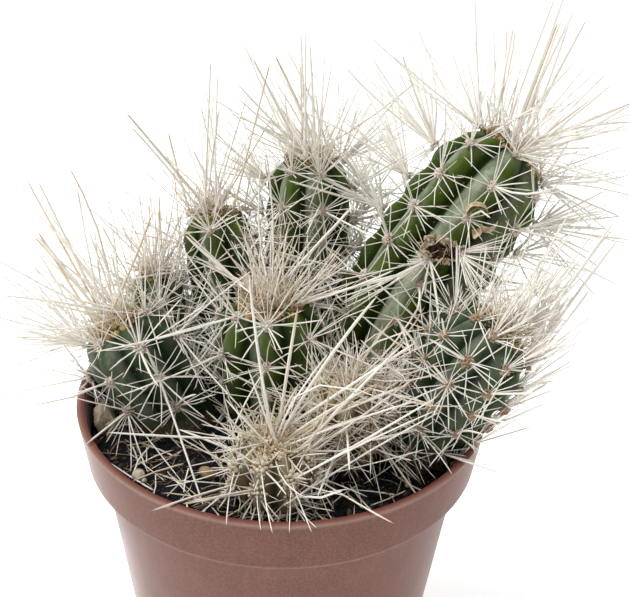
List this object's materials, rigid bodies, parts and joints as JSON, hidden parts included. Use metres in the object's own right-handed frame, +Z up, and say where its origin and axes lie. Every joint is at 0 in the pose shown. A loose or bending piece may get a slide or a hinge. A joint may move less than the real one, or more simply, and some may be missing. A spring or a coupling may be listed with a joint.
{
  "type": "potted hedgehog cactus",
  "caption": "Clump of ribbed, long-spined cactus stems, tall and short, rooted in dark soil in a round tapered plastic nursery pot with a banded rim.",
  "frame": {"origin": "middle of the pot's flat underside, on the surface that it stands on", "axes": "+Z up along the pot's axis, -Y towards the side that the picture shows, +X towards the tallest stem's lean"},
  "size_m": [0.1803, 0.1311, 0.1853],
  "materials": {
    "pot_plastic": "matte",
    "peat": "matte",
    "pale_stone": "matte",
    "green_skin": "satin",
    "dark_green_skin": "satin",
    "pup_skin": "satin",
    "spines": "satin",
    "wool": "matte"
  },
  "bodies": {
    "root": {"pot": "pot_plastic", "soil": "peat", "pebble": "pale_stone", "stem_left": "dark_green_skin", "stem_back_left": "green_skin", "stem_upper_left": "green_skin", "stem_back": "green_skin", "stem_tall": "green_skin", "stem_centre": "green_skin", "stem_right": "dark_green_skin", "pup_middle": "pup_skin", "pup_front": "pup_skin"}
  },
  "joints": []
}
